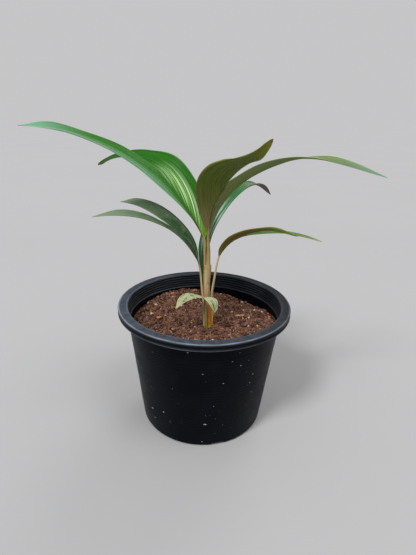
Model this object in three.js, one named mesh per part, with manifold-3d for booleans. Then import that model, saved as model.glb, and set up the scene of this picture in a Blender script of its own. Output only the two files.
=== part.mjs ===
// A young palm with bifid leaves, in a black plastic nursery pot filled with coarse potting soil.
// Millimetres, +Z up. The origin is the centre of the pot's flat base, on the surface it stands on.
// The pot, the soil, the stem, the roots, each leaf and each larger piece on the soil are separate solids.
import * as THREE from "three";
import { mergeVertices } from "three/addons/utils/BufferGeometryUtils.js";
import Module from "manifold-3d";

const wasm = await Module();
wasm.setup();

// ---- driving dimensions ----

const GAP = 0.3; // clearance between two pieces that touch

const POT_HEIGHT = 151.5;
const RIM_RADIUS = 102.5;
const RIM_DROP = 7.8; // height of the rim's turned-down edge
const UNDER_RIM_RADIUS = 92; // outside of the wall where the rim starts
const BASE_RADIUS = 75.5;
const POT_WALL = 1.6;
const POT_FLOOR = 2.2;
const RIM_PLATE = 1.8;
const RIM_DRAFT = 0.4; // how far the turned-down edge leans in towards its foot
const RIM_BEVEL = 0.8; // on the rim's outer top edge
const MOUTH_BEVEL = 1.2; // on the rim's inner top edge
const FOOT_ROUNDING = 3;
const BANDS = [33, 75, 117]; // middle heights of the three raised bands round the wall
const BAND_WIDTH = 18;
const BAND_DEPTH = 0.4;
const LEDGE_HEIGHT = 134; // the ring inside the wall, just above the soil
const LEDGE_DEPTH = 0.8;
const LEDGE_HALF_HEIGHT = 1;
const POT_SEGMENTS = 64;
const DRAIN = { count: 4, firstAngle: 15, width: 16, height: 4, depth: 16 };

const SOIL_LEVEL = 125.5;
const SOIL_SAG = 6; // how far the soil's edge may lie below its level, where the pot is narrower
const SOIL_RINGS = 7;
const SOIL_SEGMENTS = 44;
const MOUNDS = [
  { x: -38, y: 62, reach: 34, rise: 6 },
  { x: 58, y: 56, reach: 30, rise: -5.5 },
  { x: 84, y: -8, reach: 22, rise: 4 },
  { x: -84, y: 4, reach: 26, rise: -2 },
  { x: -14, y: 84, reach: 22, rise: 2.5 },
  { x: 10, y: -60, reach: 34, rise: 1.5 },
];

const STEM_PATH = [[5, -14, 112], [5, -14, 126], [4, -14, 146], [2, -14, 171], [2, -14, 203]];
const STEM_RADII = [3.8, 3.8, 3.6, 3.8, 4.2];

const ROOT_CROWN = { x: 5, y: -14, top: 111.7, bottom: 98, radius: 4.3 };
const ROOT_COUNT = 9;
const ROOT_RADII = [1.4, 1, 0.5];
const ROOT_REACH = { least: 36, step: 5 }; // how far the roots spread, in three lengths
const ROOT_DROP = { least: 34, step: 14 }; // how far they go down, in five lengths

const BLADE_THICKNESS = 0.9;
const BLADE_ROWS = 14;
const BLADE_COLUMNS = 3;
const BLADE_CAMBER = 0.08; // how far each half-blade bulges, as a share of its width
const BLADE_BASE_SHARE = 0.12; // how far up its margin a half-blade's base opens, so that it isn't a point
const STALK_SIDES = 8;

// Each leaf is one stalk, whose upper end is the midrib, and two half-blades that part where the midrib ends.
// A half-blade lies between its outer margin and the line of the midrib and its own inner margin.
// side is +1 where the half-blade lies left of the midrib, seen from above with the tip away, and -1 right.
const LEAVES = {
  leaf_upper_left: {
    color: 0x4f8a3c,
    petiole: [[-0.6, -13, 182], [-0.5, -13, 206], [-1.2, -13, 220], [-2.2, -12, 232]],
    midrib: [[-22, -9, 267], [-53, -2, 304]],
    radii: [1.6, 1.6, 1.2, 0.7],
    lobes: [
      {
        side: 1,
        inner: [[-86, -24, 329], [-118, -40, 342], [-145, -54, 350], [-167, -66, 346]],
        outer: [
          [-7, -14, 242], [-14, -26, 257], [-43, -34, 287], [-66, -42, 308], [-97, -52, 329],
          [-128, -62, 342], [-166, -68, 346],
        ],
      },
      {
        side: -1,
        inner: [[-73, 25, 309], [-97, 55, 311], [-122, 88, 306], [-147, 122, 293]],
        outer: [
          [2.5, -9, 243], [0.5, -2, 262], [-11, 8, 289], [-34, 22, 315], [-68, 45, 321], [-98, 70, 318],
          [-128, 98, 308], [-151, 120, 296],
        ],
      },
    ],
  },
  leaf_upper_right: {
    color: 0x6c7a44,
    petiole: [[3.3, -15.6, 182], [3, -16.4, 207], [2.8, -19, 222], [2, -23, 238]],
    midrib: [[6, -36, 272], [20, -52, 301]],
    radii: [2.2, 2.5, 1.6, 0.8],
    lobes: [
      {
        side: -1,
        inner: [[27, -80, 314], [34, -104, 323], [40, -126, 328], [44, -158, 343]],
        outer: [
          [-9, -36, 272], [-10, -58, 301], [-1, -76, 317], [11, -92, 324], [23, -112, 327], [33, -134, 334],
          [41, -158, 345],
        ],
      },
      {
        side: 1,
        inner: [[47, -52, 317], [77, -46, 324], [107, -40, 323], [137, -34, 316], [181, -26, 305]],
        outer: [
          [7, -21, 258], [18, -20, 275], [35, -24, 296], [67, -28, 315], [113, -24, 325], [142, -22, 321],
          [181, -25, 306],
        ],
      },
    ],
  },
  leaf_back: {
    color: 0x2f6a3c,
    petiole: [[3, -9, 116], [2, -7, 135], [0, -2, 153], [-1, 3, 172]],
    midrib: [[0, 12, 214], [9, 34, 260]],
    radii: [1.2, 1.2, 1, 0.7],
    lobes: [
      {
        side: -1,
        inner: [[31, 56, 278], [50, 81, 284], [65, 97, 278], [86, 114, 261]],
        outer: [[5, 8, 228], [22, 22, 258], [46, 46, 280], [61, 68, 283], [76, 92, 277], [87, 112, 264]],
      },
      {
        side: 1,
        inner: [[8, 72, 279], [4, 106, 288], [0, 142, 281]],
        outer: [[-6.5, 4, 194], [-9, 9, 214], [-6, 23, 229], [1, 60, 258], [1, 104, 280], [-1, 142, 281]],
      },
    ],
  },
  leaf_lower_left: {
    color: 0x5d7f66,
    petiole: [[1, -15, 116], [0, -15, 136], [-1, -16, 156], [-3, -16, 172], [-7, -19, 204]],
    midrib: [[-15, -24, 229], [-38, -32, 251]],
    radii: [1.4, 1.3, 1.1, 0.7],
    lobes: [
      {
        side: 1,
        inner: [[-62, -44, 266], [-84, -56, 272], [-106, -74, 269]],
        outer: [[-13, -34, 222], [-31, -46, 247], [-60, -58, 264], [-86, -68, 269], [-106, -75, 268]],
      },
      {
        side: -1,
        inner: [[-60, -20, 262], [-78, -8, 267], [-97, 8, 267]],
        outer: [[-11, -16, 228], [-27, -12, 251], [-51, -4, 267], [-78, 4, 272], [-97, 9, 267]],
      },
    ],
  },
  leaf_lower_right: {
    color: 0x6b7340,
    petiole: [[9, -13, 116], [9, -13, 149], [8, -13, 164], [10, -15, 184], [14, -20, 213]],
    midrib: [[19, -25, 227], [26, -29, 235], [40, -38, 245]],
    radii: [1.6, 1.4, 1.2, 0.6],
    lobes: [
      {
        side: -1,
        inner: [[51, -56, 254], [62, -75, 260], [80, -102, 262]],
        outer: [
          [14, -28, 227], [22, -38, 242], [36, -50, 253], [50, -64, 260], [64, -82, 265], [80, -102, 263],
        ],
      },
      {
        side: 1,
        inner: [[58, -42, 248], [80, -44, 250], [98, -45, 247], [118, -46, 242]],
        outer: [
          [18, -18, 223], [35, -18, 238], [59, -24, 247], [84, -35, 249.5], [102, -42, 247.5], [118, -45, 243],
        ],
      },
    ],
  },
  leaf_seedling: {
    color: 0xa9b98a,
    petiole: [[2, -19, 116], [2, -20, 130], [1, -22, 150], [0, -26, 167]],
    midrib: [[-1, -28, 169], [-1, -31, 170]],
    radii: [1.7, 1.6, 1.2, 0.7],
    lobes: [
      {
        side: -1,
        inner: [[-11, -36, 171], [-23, -39, 166], [-32, -38, 158]],
        outer: [[-9, -24, 170], [-21, -24, 171], [-29, -29, 167], [-32, -37, 159]],
      },
      {
        side: 1,
        inner: [[4, -36, 166], [8, -39, 161], [11, -38, 155]],
        outer: [[6, -24, 167], [13, -26, 165], [14.5, -31, 159], [12, -37, 155]],
      },
    ],
  },
};

// Loose pieces on the soil: half-sizes along their own length, width and height, and the turn about +Z.
const SURFACE_PIECES = {
  bark_chip_1: { x: 45, y: 14, half: [6, 2.2, 1], turn: 12, color: 0xa8744c },
  bark_chip_2: { x: 48, y: 51, half: [3.5, 2, 1], turn: -20, color: 0xb07a4a },
  bark_chip_3: { x: -56, y: 3, half: [3.5, 2.2, 1.2], turn: 35, color: 0x9c4a30 },
  bark_chip_4: { x: -44, y: 62, half: [2.6, 2.2, 1.4], turn: 0, color: 0xa04c34 },
  bark_chip_5: { x: -14, y: 76, half: [3.6, 2, 1], turn: 8, color: 0xb58a66 },
  twig: { x: 27, y: -16, half: [9, 0.9, 0.8], turn: 6, color: 0x3a2c24 },
  pebble_1: { x: -30, y: 34, half: [2, 1.6, 1.2], turn: 0, color: 0xcdb08c },
  pebble_2: { x: 67, y: 36, half: [3, 2, 1.3], turn: 24, color: 0x9a928c },
  soil_clod: { x: 49, y: -14, half: [3.4, 3, 2.2], turn: 50, color: 0x7a6252 },
};

const LUMP_DENTS = { broad: 0.14, small: 0.08 }; // as a share of a loose piece's size

// ---- geometry helpers ----

const vector = (p) => new THREE.Vector3(...p);
const { lerp, degToRad } = THREE.MathUtils;

// A closed mesh's volume, negative where its faces point inwards.
function signedVolume(geometry) {
  const position = geometry.getAttribute("position");
  const corner = (i) => new THREE.Vector3().fromBufferAttribute(position, geometry.index.getX(i));
  let volume = 0;
  for (let i = 0; i < geometry.index.count; i += 3) {
    volume += corner(i).dot(corner(i + 1).cross(corner(i + 2))) / 6;
  }
  return volume;
}

// A three.js geometry as a manifold-3d solid whose faces point outwards.
function solidOf(geometry) {
  const bare = new THREE.BufferGeometry();
  bare.setAttribute("position", geometry.getAttribute("position"));
  bare.setIndex(geometry.index);
  const merged = mergeVertices(bare, 1e-3);
  if (signedVolume(merged) < 0) merged.index.array.reverse();
  return new wasm.Manifold(
    new wasm.Mesh({
      numProp: 3,
      vertProperties: new Float32Array(merged.getAttribute("position").array),
      triVerts: new Uint32Array(merged.index.array),
    }),
  );
}

function geometryOf(solid) {
  const mesh = solid.getMesh();
  const geometry = new THREE.BufferGeometry();
  geometry.setAttribute("position", new THREE.BufferAttribute(mesh.vertProperties, 3));
  geometry.setIndex(new THREE.BufferAttribute(mesh.triVerts, 1));
  geometry.computeVertexNormals();
  return geometry;
}

// A solid through a row of rings with the same number of points, closed at both ends by a flat fan.
function loft(rings) {
  const around = rings[0].length;
  const ends = [rings[0], rings.at(-1)];
  const middleOf = (ring) => ring.reduce((sum, p) => sum.add(p), new THREE.Vector3()).divideScalar(around);
  const centres = ends.map(middleOf);
  const index = [];
  for (let row = 0; row < rings.length - 1; row++) {
    for (let k = 0; k < around; k++) {
      const a = row * around + k;
      const b = row * around + ((k + 1) % around);
      index.push(a, b, b + around, a, b + around, a + around);
    }
  }
  const first = rings.length * around;
  const last = first - around;
  for (let k = 0; k < around; k++) {
    const next = (k + 1) % around;
    index.push(first, next, k, first + 1, last + k, last + next);
  }
  const geometry = new THREE.BufferGeometry().setFromPoints([...rings.flat(), ...centres]);
  geometry.setIndex(index);
  return geometry;
}

const smooth = (points) => new THREE.CatmullRomCurve3(points.map(vector), false, "centripetal");

// A value at a share of the way along a list of equally spaced values.
function along(values, share) {
  const place = share * (values.length - 1);
  const before = Math.min(Math.floor(place), values.length - 2);
  return lerp(values[before], values[before + 1], place - before);
}

// A round tube along a smooth curve. swell makes it thicker and longer, to cut room for it in a neighbour.
function tube(points, radii, steps, sides, swell = 0) {
  const curve = smooth(points);
  const frames = curve.computeFrenetFrames(steps);
  const rings = [];
  for (let i = 0; i <= steps; i++) {
    const centre = curve.getPointAt(i / steps);
    if (i === 0) centre.addScaledVector(frames.tangents[i], -swell);
    if (i === steps) centre.addScaledVector(frames.tangents[i], swell);
    const radius = (along(radii, i / steps) + swell) / Math.cos(Math.PI / sides);
    const ring = [];
    for (let k = 0; k < sides; k++) {
      const angle = (2 * Math.PI * k) / sides;
      ring.push(
        centre
          .clone()
          .addScaledVector(frames.normals[i], radius * Math.cos(angle))
          .addScaledVector(frames.binormals[i], radius * Math.sin(angle)),
      );
    }
    rings.push(ring);
  }
  return solidOf(loft(rings));
}

// ---- pot ----

const RIM_BOTTOM = POT_HEIGHT - RIM_DROP;
const outsideRadius = (z) => lerp(BASE_RADIUS, UNDER_RIM_RADIUS, z / RIM_BOTTOM);
const insideRadius = (z) => outsideRadius(z) - POT_WALL;

function potProfile() {
  const profile = [[0, 0]];
  for (let step = 0; step <= 3; step++) {
    const angle = (Math.PI / 2) * (step / 3);
    profile.push([
      BASE_RADIUS - FOOT_ROUNDING * (1 - Math.sin(angle)),
      FOOT_ROUNDING * (1 - Math.cos(angle)),
    ]);
  }
  for (const middle of BANDS) {
    for (const side of [-1, 1]) {
      const edge = middle + (side * BAND_WIDTH) / 2;
      const inset = edge - side * BAND_DEPTH;
      const corners = [[outsideRadius(edge), edge], [outsideRadius(inset) + BAND_DEPTH, inset]];
      profile.push(...(side < 0 ? corners : corners.reverse()));
    }
  }
  const plateBottom = POT_HEIGHT - RIM_PLATE;
  profile.push([outsideRadius(plateBottom), plateBottom]);
  profile.push([RIM_RADIUS - RIM_PLATE, plateBottom]);
  profile.push([RIM_RADIUS - RIM_PLATE, RIM_BOTTOM]);
  profile.push([RIM_RADIUS - RIM_DRAFT, RIM_BOTTOM]);
  profile.push([RIM_RADIUS, POT_HEIGHT - RIM_BEVEL]);
  profile.push([RIM_RADIUS - RIM_BEVEL, POT_HEIGHT]);
  profile.push([insideRadius(POT_HEIGHT) + MOUTH_BEVEL, POT_HEIGHT]);
  profile.push([insideRadius(POT_HEIGHT), POT_HEIGHT - MOUTH_BEVEL]);
  profile.push([insideRadius(LEDGE_HEIGHT), LEDGE_HEIGHT + LEDGE_HALF_HEIGHT]);
  profile.push([insideRadius(LEDGE_HEIGHT) - LEDGE_DEPTH, LEDGE_HEIGHT]);
  profile.push([insideRadius(LEDGE_HEIGHT), LEDGE_HEIGHT - LEDGE_HALF_HEIGHT]);
  profile.push([insideRadius(POT_FLOOR), POT_FLOOR]);
  profile.push([0, POT_FLOOR]);
  return profile.map(([radius, z]) => new THREE.Vector2(radius, z));
}

function pot() {
  const shell = new THREE.LatheGeometry(potProfile(), POT_SEGMENTS).rotateX(Math.PI / 2);
  let made = solidOf(shell);
  for (let k = 0; k < DRAIN.count; k++) {
    const angle = degToRad(DRAIN.firstAngle - 90 + (360 / DRAIN.count) * k);
    const slot = new THREE.BoxGeometry(DRAIN.depth, DRAIN.width, 2 * DRAIN.height);
    slot.translate(BASE_RADIUS, 0, 0).rotateZ(angle);
    made = made.subtract(solidOf(slot));
  }
  return made;
}

// ---- soil and the loose pieces on it ----

function soilHeight(x, y) {
  const away = (mound) => Math.hypot(x - mound.x, y - mound.y) / mound.reach;
  const rise = (mound) => mound.rise * Math.exp(-(away(mound) ** 2));
  const ripple = 0.5 * Math.sin(x / 6 + 1) * Math.cos(y / 7) + 0.3 * Math.sin(x / 3.5 - y / 4);
  return MOUNDS.reduce((height, mound) => height + rise(mound), SOIL_LEVEL + ripple);
}

function soilBody() {
  const bottom = POT_FLOOR + GAP;
  const edgeRadius = insideRadius(SOIL_LEVEL - SOIL_SAG) - GAP;
  const footRadius = insideRadius(bottom) - GAP;
  const rings = [];
  for (let ring = 1; ring <= SOIL_RINGS; ring++) {
    const radius = (edgeRadius * ring) / SOIL_RINGS;
    const points = [];
    for (let k = 0; k < SOIL_SEGMENTS; k++) {
      const angle = (2 * Math.PI * k) / SOIL_SEGMENTS;
      const [x, y] = [radius * Math.cos(angle), radius * Math.sin(angle)];
      points.push(new THREE.Vector3(x, y, soilHeight(x, y)));
    }
    rings.push(points);
  }
  const foot = rings.at(-1).map((p) => new THREE.Vector3(p.x, p.y, 0).setLength(footRadius).setZ(bottom));
  return solidOf(loft([...rings, foot]));
}

// The soil's highest point under a piece that reaches this far round its middle.
function restingHeight(x, y, reach) {
  let height = soilHeight(x, y);
  for (let k = 0; k < 16; k++) {
    const angle = (Math.PI * k) / 8;
    for (const distance of [reach / 2, reach]) {
      const under = soilHeight(x + distance * Math.cos(angle), y + distance * Math.sin(angle));
      height = Math.max(height, under);
    }
  }
  return height;
}

// An irregular lump: a subdivided icosahedron whose corners are pushed in by a fixed rule.
function loosePiece({ x, y, half, turn }) {
  const lump = new THREE.IcosahedronGeometry(1, 1);
  const position = lump.getAttribute("position");
  const corner = new THREE.Vector3();
  for (let i = 0; i < position.count; i++) {
    corner.fromBufferAttribute(position, i);
    const broad = LUMP_DENTS.broad * Math.sin(5 * corner.x + x) * Math.cos(4 * corner.y + y);
    const small = LUMP_DENTS.small * Math.sin(7 * corner.z + x);
    corner.multiplyScalar(1 - Math.abs(broad + small));
    position.setXYZ(i, corner.x, corner.y, corner.z);
  }
  lump.scale(...half);
  lump.rotateZ(degToRad(turn));
  lump.translate(x, y, restingHeight(x, y, half[0]) + half[2] + GAP);
  return solidOf(lump);
}

// ---- plant ----

const stem = (swell = 0) => tube(STEM_PATH, STEM_RADII, 20, 14, swell);

function roots(swell = 0) {
  const { x, y, top, bottom, radius } = ROOT_CROWN;
  const crown = [[x, y, top], [x, y, (top + bottom) / 2], [x, y, bottom]];
  let made = tube(crown, [radius, radius * 0.8, radius * 0.3], 5, 10, swell);
  for (let k = 0; k < ROOT_COUNT; k++) {
    const angle = (2 * Math.PI * k) / ROOT_COUNT;
    const reach = ROOT_REACH.least + ROOT_REACH.step * (k % 3);
    const drop = ROOT_DROP.least + ROOT_DROP.step * ((k * 2) % 5);
    const at = (share, z) => [x + share * reach * Math.cos(angle), y + share * reach * Math.sin(angle), z];
    const route = [at(0.02, top - 6), at(0.35, top - 12), at(0.8, top - 0.45 * drop), at(1, top - drop)];
    made = made.add(tube(route, ROOT_RADII, 9, 6, swell));
  }
  return made;
}

// count points at equal distances along a dense line of points.
function evenly(points, count) {
  const reached = [0];
  for (let i = 1; i < points.length; i++) {
    reached.push(reached[i - 1] + points[i].distanceTo(points[i - 1]));
  }
  const spaced = [];
  let i = 1;
  for (let k = 0; k < count; k++) {
    const target = (reached.at(-1) * k) / (count - 1);
    while (i < points.length - 1 && reached[i] < target) i++;
    const share = (target - reached[i - 1]) / (reached[i] - reached[i - 1]);
    spaced.push(points[i - 1].clone().lerp(points[i], share));
  }
  return spaced;
}

const lengthOf = (points) => points.reduce((sum, p, i) => sum + (i ? p.distanceTo(points[i - 1]) : 0), 0);

// The two long edges of a half-blade, as BLADE_ROWS pairs of points from the blade's base to its tip.
function lobeEdges(leaf, lobe) {
  const fine = 40;
  const stalk = [...leaf.petiole, ...leaf.midrib];
  const base = leaf.petiole.length - 1;
  const rib = smooth(stalk).getPoints(fine * (stalk.length - 1)).slice(fine * base);
  const margin = [leaf.midrib.at(-1), ...lobe.inner];
  const free = smooth(margin).getPoints(fine * (margin.length - 1));
  const ribRows = Math.max(2, Math.round((BLADE_ROWS * lengthOf(rib)) / (lengthOf(rib) + lengthOf(free))));
  const inner = [...evenly(rib, ribRows), ...evenly(free, BLADE_ROWS - ribRows + 1).slice(1)];
  const edge = [leaf.petiole[base], ...lobe.outer];
  const outer = evenly(smooth(edge).getPoints(fine * (edge.length - 1)), BLADE_ROWS);
  outer[0].lerp(outer[1], BLADE_BASE_SHARE);
  return { inner, outer };
}

// One half-blade: a thin cambered strip between its two edges.
function halfBlade(leaf, lobe) {
  const { inner, outer } = lobeEdges(leaf, lobe);
  const middle = inner.map((p, i) => p.clone().lerp(outer[i], 0.5));
  const rings = middle.map((_, i) => {
    const tangent = middle[Math.min(i + 1, middle.length - 1)].clone().sub(middle[Math.max(i - 1, 0)]);
    const across = outer[i].clone().sub(inner[i]);
    const up = tangent.cross(across).multiplyScalar(lobe.side).normalize();
    const section = (share, lift) => {
      const bulge = BLADE_CAMBER * across.length() * Math.sin(Math.PI * share);
      return inner[i].clone().addScaledVector(across, share).addScaledVector(up, bulge + lift);
    };
    const shares = Array.from({ length: BLADE_COLUMNS + 1 }, (__, k) => k / BLADE_COLUMNS);
    const top = shares.map((share) => section(share, BLADE_THICKNESS / 2));
    const bottom = shares.map((share) => section(share, -BLADE_THICKNESS / 2)).reverse();
    return [...top, ...bottom];
  });
  return solidOf(loft(rings));
}

const stalkSteps = (leaf) => 2 * (leaf.petiole.length + leaf.midrib.length);
const stalk = (leaf, swell = 0) =>
  tube([...leaf.petiole, ...leaf.midrib], leaf.radii, stalkSteps(leaf), STALK_SIDES, swell);

function leafSolid(leaf) {
  return leaf.lobes.reduce((made, lobe) => made.add(halfBlade(leaf, lobe)), stalk(leaf));
}

// ---- the assembly ----

const group = new THREE.Group();

function addPiece(name, solid, color, roughness) {
  const material = new THREE.MeshStandardMaterial({ color, roughness, metalness: 0 });
  const mesh = new THREE.Mesh(geometryOf(solid), material);
  mesh.name = name;
  group.add(mesh);
}

const stalkRoom = Object.values(LEAVES)
  .map((leaf) => stalk(leaf, GAP))
  .reduce((room, next) => room.add(next));

addPiece("pot", pot(), 0x24282e, 0.45);
const plantRoom = stem(GAP).add(roots(GAP)).add(stalkRoom);
addPiece("potting_soil", soilBody().subtract(plantRoom), 0x4a3026, 0.95);
addPiece("stem", stem().subtract(stalkRoom), 0x8f8058, 0.7);
addPiece("roots", roots(), 0xc9b78f, 0.8);
for (const [name, leaf] of Object.entries(LEAVES)) addPiece(name, leafSolid(leaf), leaf.color, 0.45);
for (const [name, piece] of Object.entries(SURFACE_PIECES)) {
  addPiece(name, loosePiece(piece), piece.color, 0.9);
}

export default group;
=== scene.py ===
"""A young palm with bifid leaves in a black nursery pot: the looks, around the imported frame.

Blender 4.5. Lengths are in metres. The plant's own points are in millimetres: MM turns them into metres.
"""

import math
from collections import namedtuple

import bmesh
import bpy
import numpy as np
from mathutils import Matrix, Quaternion, Vector, noise


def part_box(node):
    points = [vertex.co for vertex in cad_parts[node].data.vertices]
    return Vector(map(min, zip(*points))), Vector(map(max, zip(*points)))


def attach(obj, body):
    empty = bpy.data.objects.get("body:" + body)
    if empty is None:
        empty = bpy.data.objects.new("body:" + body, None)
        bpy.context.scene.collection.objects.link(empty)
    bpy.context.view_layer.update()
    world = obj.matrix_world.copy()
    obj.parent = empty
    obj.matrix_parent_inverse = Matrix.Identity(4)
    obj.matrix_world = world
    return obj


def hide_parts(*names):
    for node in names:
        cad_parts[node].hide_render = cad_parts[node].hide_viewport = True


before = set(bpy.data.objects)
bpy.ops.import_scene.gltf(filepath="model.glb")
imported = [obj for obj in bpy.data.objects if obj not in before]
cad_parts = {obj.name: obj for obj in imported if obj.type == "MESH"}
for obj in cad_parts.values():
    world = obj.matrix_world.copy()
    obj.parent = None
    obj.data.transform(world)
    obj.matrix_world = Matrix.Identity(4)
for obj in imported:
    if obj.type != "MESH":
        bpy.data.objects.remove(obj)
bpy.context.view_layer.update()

MM = 0.001
SEED = 7

# ---- sizes read from the frame ----

POT_LOW, POT_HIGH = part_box("pot")
POT_HEIGHT = POT_HIGH.z
RIM_RADIUS = (POT_HIGH.x - POT_LOW.x) / 2

# ---- sizes of the pot, in metres ----

UNDER_RIM_RADIUS = 92 * MM
BASE_RADIUS = 75.5 * MM
POT_WALL = 1.6 * MM
POT_FLOOR = 2.2 * MM
FOOT_ROUNDING = 3 * MM
MOUTH_BEVEL = 1.2 * MM
POT_SEGMENTS = 288
WALL_STEP = 0.45 * MM
WALL_WAVE = 0.12 * MM
WALL_WAVES_PER_METRE = 22

RIM_DROP = 7.8 * MM
RIM_PLATE = 1.8 * MM
RIM_LIP_ROUNDING = 0.7 * MM
RIM_SHOULDER = 1.3 * MM
RIM_DRAFT = 0.4 * MM
RIM_WAIST = 0.25 * MM
RIM_WAIST_HEIGHT = 3.2 * MM
RIM_FACE_HEIGHT = 4.6 * MM
RIM_DISH = 0.25 * MM

BANDS = (33 * MM, 75 * MM, 117 * MM)
BAND_WIDTH = 18 * MM
BAND_FADE = 1.2 * MM
BAND_RINGS = 5
RING_DEPTH = 0.15 * MM
LEDGE_HEIGHT = 134 * MM
LEDGE_DEPTH = 0.8 * MM
LEDGE_REACH = 0.8 * MM
INNER_RIB_PITCH = 3.2 * MM
INNER_RIB_DEPTH = 0.2 * MM
INNER_RIB_FADE = 2 * MM
# how pale the inner ribs' crests are: a painted highlight that lightens the shaded inner wall
CREST_HIGHLIGHT = 0.26

DRAIN_COUNT = 4
DRAIN_FIRST_ANGLE = 15
DRAIN_WIDTH = 16 * MM
DRAIN_HEIGHT = 4 * MM

SPLASH_COUNT = 130
SPLASH_HEIGHTS = (6, 138)
# turn from the front in degrees, height and size in millimetres
SPLASHES = (
    (-10, 135, 1.3), (-58, 137, 1.2), (27, 114, 1.3), (0, 108, 0.9), (-47, 36, 1.5), (-33, 41, 1.2),
    (3, 35, 1.5), (-45, 23, 1.1), (-28, 29, 0.9), (1, 7, 1.1), (15, 94, 0.9), (40, 95, 1), (33, 118, 0.8),
    (38, 84, 0.8), (-62, 92, 0.9), (-55, 88, 0.7), (20, 122, 0.8), (9, 62, 0.7), (42, 68, 1),
)

# ---- sizes of the soil and of what lies on it ----

SOIL_LEVEL = 125.5
MOUNDS = (
    # x, y, reach and rise, in millimetres, as in the CAD model
    (-38, 62, 34, 6), (58, 56, 30, -5.5), (84, -8, 22, 4),
    (-84, 4, 26, -2), (-14, 84, 22, 2.5), (10, -60, 34, 1.5),
)
SOIL_EDGE_HEIGHT = 122 * MM
SOIL_CLEARANCE = 0.2 * MM
SOIL_GRID = 241
# bumps per metre, depth and shift of each layer of relief
SOIL_RELIEF = ((110, 1.1 * MM, 0), (300, 0.8 * MM, 3), (750, 0.55 * MM, 9), (1500, 0.25 * MM, 17))
SOIL_RELIEF_REACH = 1.1 * MM
CRUMB_COUNT = 5200
CRUMB_SIZE = 0.78 * MM
CRUMB_EDGE_GAP = 0.6 * MM
BRICK_SHARE = 0.05
GRIT_SHARE = 0.02
NOTED_CRUMBS = (
    # x, y and radius in millimetres, and kind
    (-22, -46, 1.5, "grit"), (-15, -30, 1.3, "grit"), (-56, 26, 1.4, "grit"), (-30, 33, 1.7, "grit"),
    (23, 82, 1.3, "grit"), (49, -13, 2.2, "crumb"), (22, -18, 1.6, "brick"), (-29, 14, 1.6, "brick"),
)
FIBRE_COUNT = 130
FIBRE_REACH = 84 * MM
FIBRE_LENGTHS = (3, 9)
FIBRE_RADII = (0.1, 0.24)
FIBRE_ROWS = 9
FIBRE_SIDES = 5

LOOSE_SINK = 0.5 * MM
LOOSE_PIECES = {
    # shape, half sizes in millimetres and turn in degrees as in the CAD model, the record's slot, material
    "bark_chip_1": ("chip", (6, 2.2, 1), 12, "bark", "tan_bark"),
    "bark_chip_2": ("chip", (3.5, 2, 1), -20, "bark", "tan_bark"),
    "bark_chip_3": ("chip", (3.5, 2.2, 1.2), 35, "bark", "orange_bark"),
    "bark_chip_4": ("chip", (2.6, 2.2, 1.4), 0, "bark", "orange_bark"),
    "bark_chip_5": ("chip", (3.6, 2, 1), 8, "bark", "tan_bark"),
    "twig": ("chip", (9, 0.9, 0.8), 6, "twig_bark", "dark_bark"),
    "pebble_1": ("stone", (2, 1.6, 1.2), 0, "grit", "grit"),
    "pebble_2": ("stone", (3, 2, 1.3), 24, "grit", "grit"),
    "soil_clod": ("clod", (3.4, 3, 2.2), 50, "potting_soil", "soil_clod"),
}

# ---- sizes of the stem and the leaf stalks ----

STEM_ROWS = 260
STEM_SIDES = 96
STEM_RIDGE = 0.05 * MM
# lower end, rise to the far side, direction of the lower end in degrees and thickness of each sheath
SHEATHS = ((171, 13, 175, 0.3), (150, 16, 245, 0.2), (186, 9, 20, 0.2))
SEAM_REACH = 0.5 * MM
SHOULDER_HEIGHT = 197 * MM
SHOULDER_REACH = 9 * MM
SHOULDER_RISE = 0.9 * MM
STEM_TAPER_START = 190 * MM
STEM_TAPER_END = 203 * MM
STEM_TAPER = 0.9 * MM
STALK_ROWS_PER_POINT = 26
STALK_SIDES = 32
STALK_RIDGE = 0.03 * MM
# reach in radians and depth, as a share of the radius, of the groove on a stalk's upper side
GROOVE_REACH = 0.55
GROOVE_DEPTH = 0.3
STALK_END_START = 0.97
# where a stalk's colours put the blade's base, from 0 at its foot to 1 at the end of its midrib
BLADE_BASE_PLACE = 0.6

# ---- sizes of the blades ----

BLADE_ROWS = 110
BLADE_COLUMNS = 48
BLADE_CAMBER = 0.08
BLADE_HALF_THICKNESS = 0.24 * MM
PLEAT_DEPTH = 0.38 * MM
BASE_OPENING = 0.6
RELAX_ROUNDS = 300
TIP_START = 0.93
MARGIN_WAVE = 0.9 * MM
MARGIN_WAVES_PER_METRE = 30

# ---- the plant's own lines, in millimetres, as in the CAD model ----

STEM_PATH = ((5, -14, 112), (5, -14, 126), (4, -14, 146), (2, -14, 171), (2, -14, 203))
STEM_RADII = (3.6, 3.4, 3.2, 3.4, 3.9)

# a half-blade: side of the midrib, count of veins, look, free inner margin and outer margin
Half = namedtuple("Half", "side veins look inner outer")

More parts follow.
